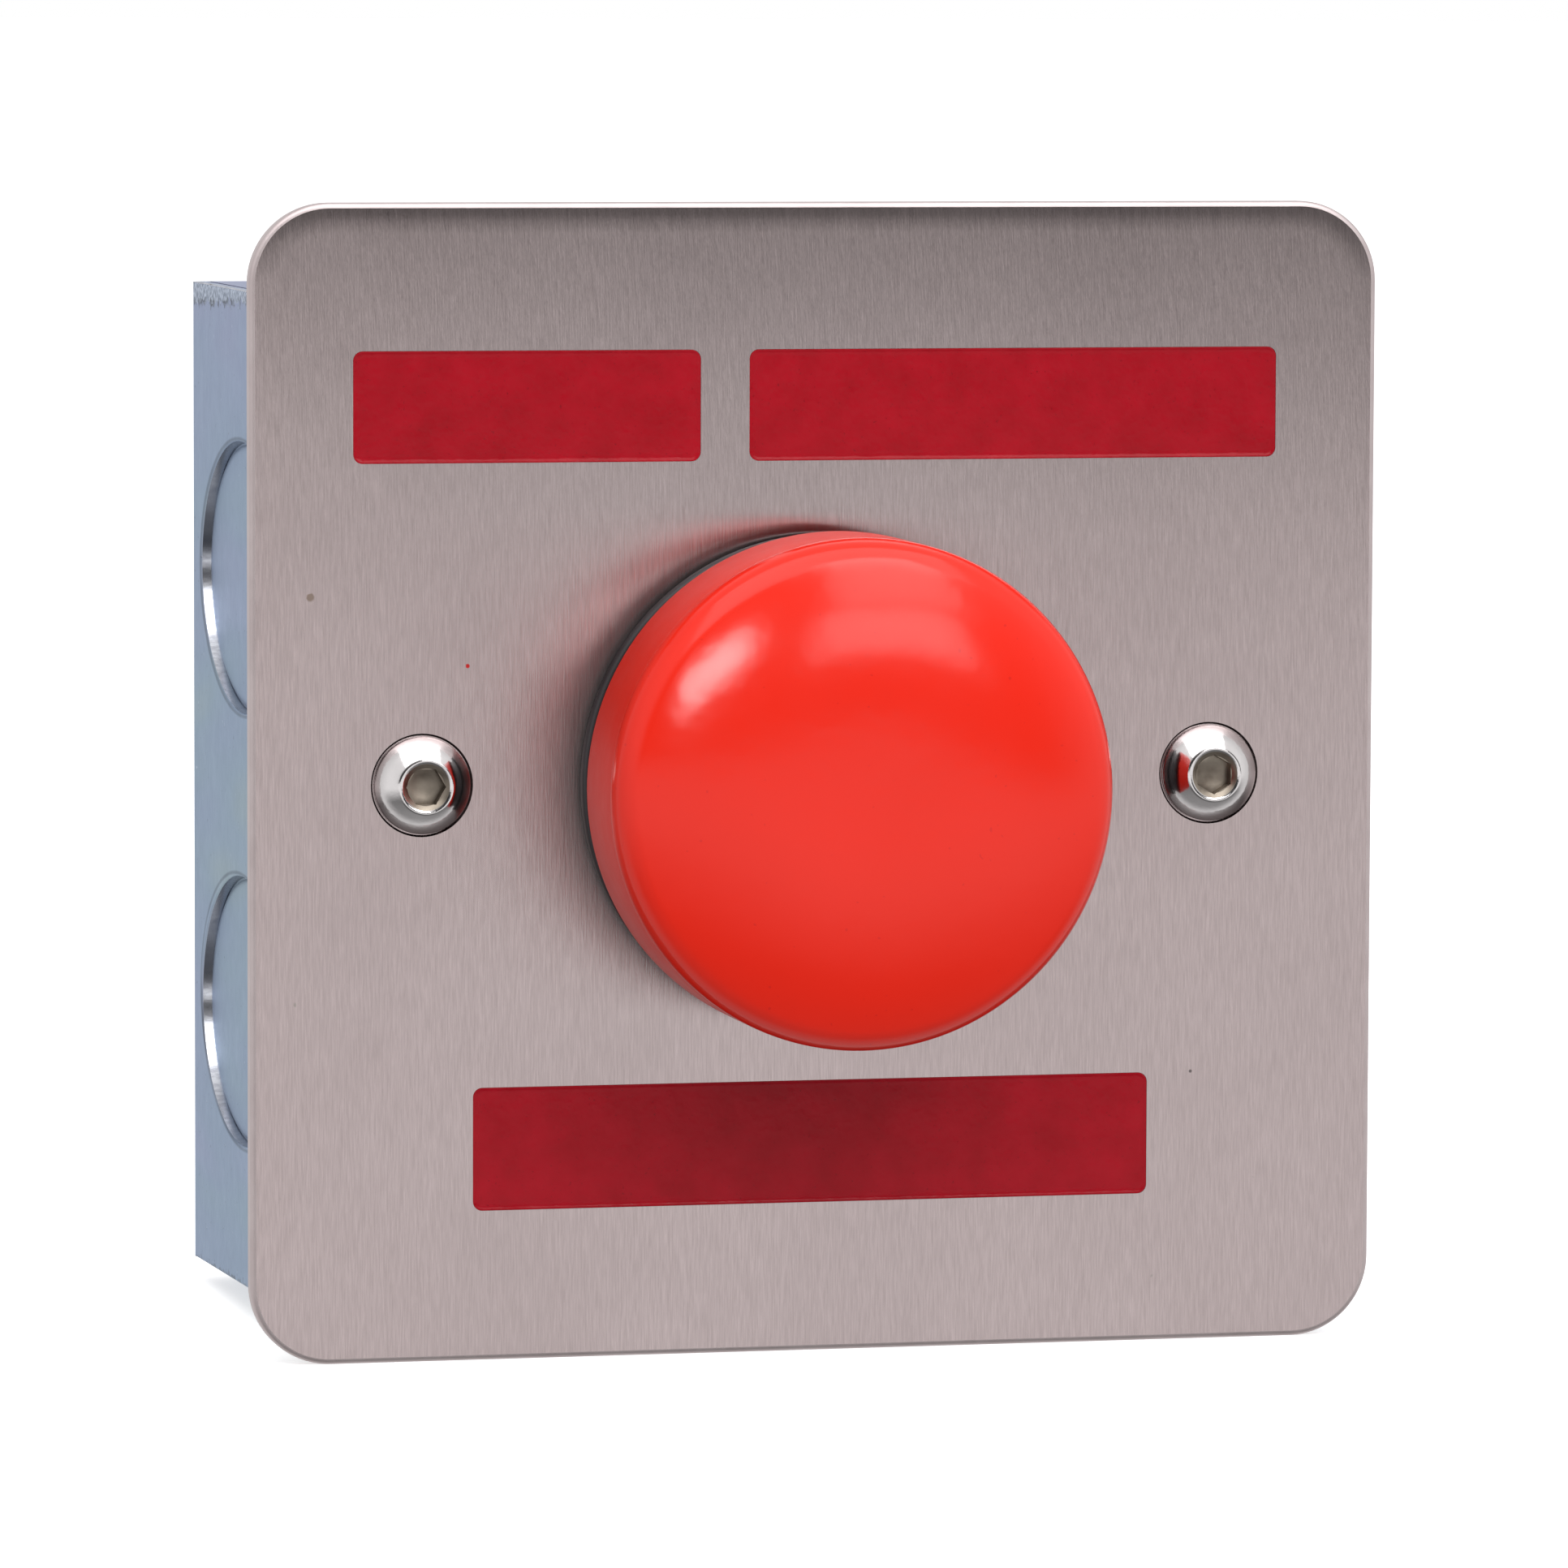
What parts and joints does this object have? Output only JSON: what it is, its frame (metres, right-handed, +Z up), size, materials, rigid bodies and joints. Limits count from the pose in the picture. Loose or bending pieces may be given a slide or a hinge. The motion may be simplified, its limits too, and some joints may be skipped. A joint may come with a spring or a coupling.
{
  "type": "alarm silence push button",
  "caption": "Wall-mounted alarm silence push button: stainless plate with a domed red palm button, on a recessed steel box with knockouts.",
  "frame": {"origin": "on the rear (wall) face of the back box, straight behind the centre of the face plate", "axes": "+Z up; the plate faces -Y and the wall is on the +Y side; the button presses along +Y"},
  "size_m": [0.086, 0.067, 0.086],
  "materials": {
    "stainless_plate": "brushed vertically, satin",
    "polished_steel": "polished",
    "zinc_plated_steel": "bright zinc plating with a faint blue tint",
    "brass": "bright",
    "zinc_screw": "zinc plated",
    "red_gloss_plastic": "high gloss moulded red",
    "grey_plastic": "moulded, matt",
    "spring_steel": "drawn wire and strip",
    "black_plastic": "moulded, satin",
    "gasket_rubber": "matt",
    "cream_plastic": "moulded, matt",
    "red_plunger_plastic": "moulded, satin"
  },
  "bodies": {
    "plate_and_box": {"face_plate": "stainless_plate", "plate_screw_left": "polished_steel", "plate_screw_right": "polished_steel", "back_box": "zinc_plated_steel", "fixed_lug": "zinc_plated_steel", "adjustable_lug": "zinc_plated_steel", "earth_terminal": "brass", "earth_screw": "zinc_screw", "return_spring": "spring_steel", "bezel_body": "black_plastic", "sealing_gasket": "gasket_rubber", "lock_washer": "zinc_screw", "clamping_nut": "black_plastic", "switch_carrier": "grey_plastic", "carrier_lock_screw": "zinc_screw", "carrier_screw_upper": "zinc_screw", "carrier_screw_lower": "zinc_screw", "block_housing": "cream_plastic", "block_cover": "cream_plastic", "contact_spring": "spring_steel", "fixed_contact_left": "brass", "fixed_contact_right": "brass", "terminal_screw_left": "zinc_screw", "terminal_screw_right": "zinc_screw", "clamp_washer_left": "zinc_screw", "clamp_washer_right": "zinc_screw"},
    "button": {"button_head": "red_gloss_plastic", "push_stem": "grey_plastic", "stem_clip": "spring_steel"},
    "contact_plunger": {"switch_plunger": "red_plunger_plastic", "moving_bridge": "brass"}
  },
  "joints": [
    {"name": "button_press", "type": "slide", "parent": "plate_and_box", "child": "button", "axis": [0, 1, 0], "range_m": [0, 0.003], "stiffness_N_per_m": 1500, "springref_m": -0.003, "deforming": ["return_spring"]},
    {"name": "plunger_press", "type": "slide", "parent": "plate_and_box", "child": "contact_plunger", "axis": [0, 1, 0], "range_m": [0, 0.003], "stiffness_N_per_m": 300, "springref_m": -0.003, "deforming": ["contact_spring"]}
  ],
  "couplings": [
    {"joint": "plunger_press", "follows": "button_press", "ratio": 1}
  ]
}
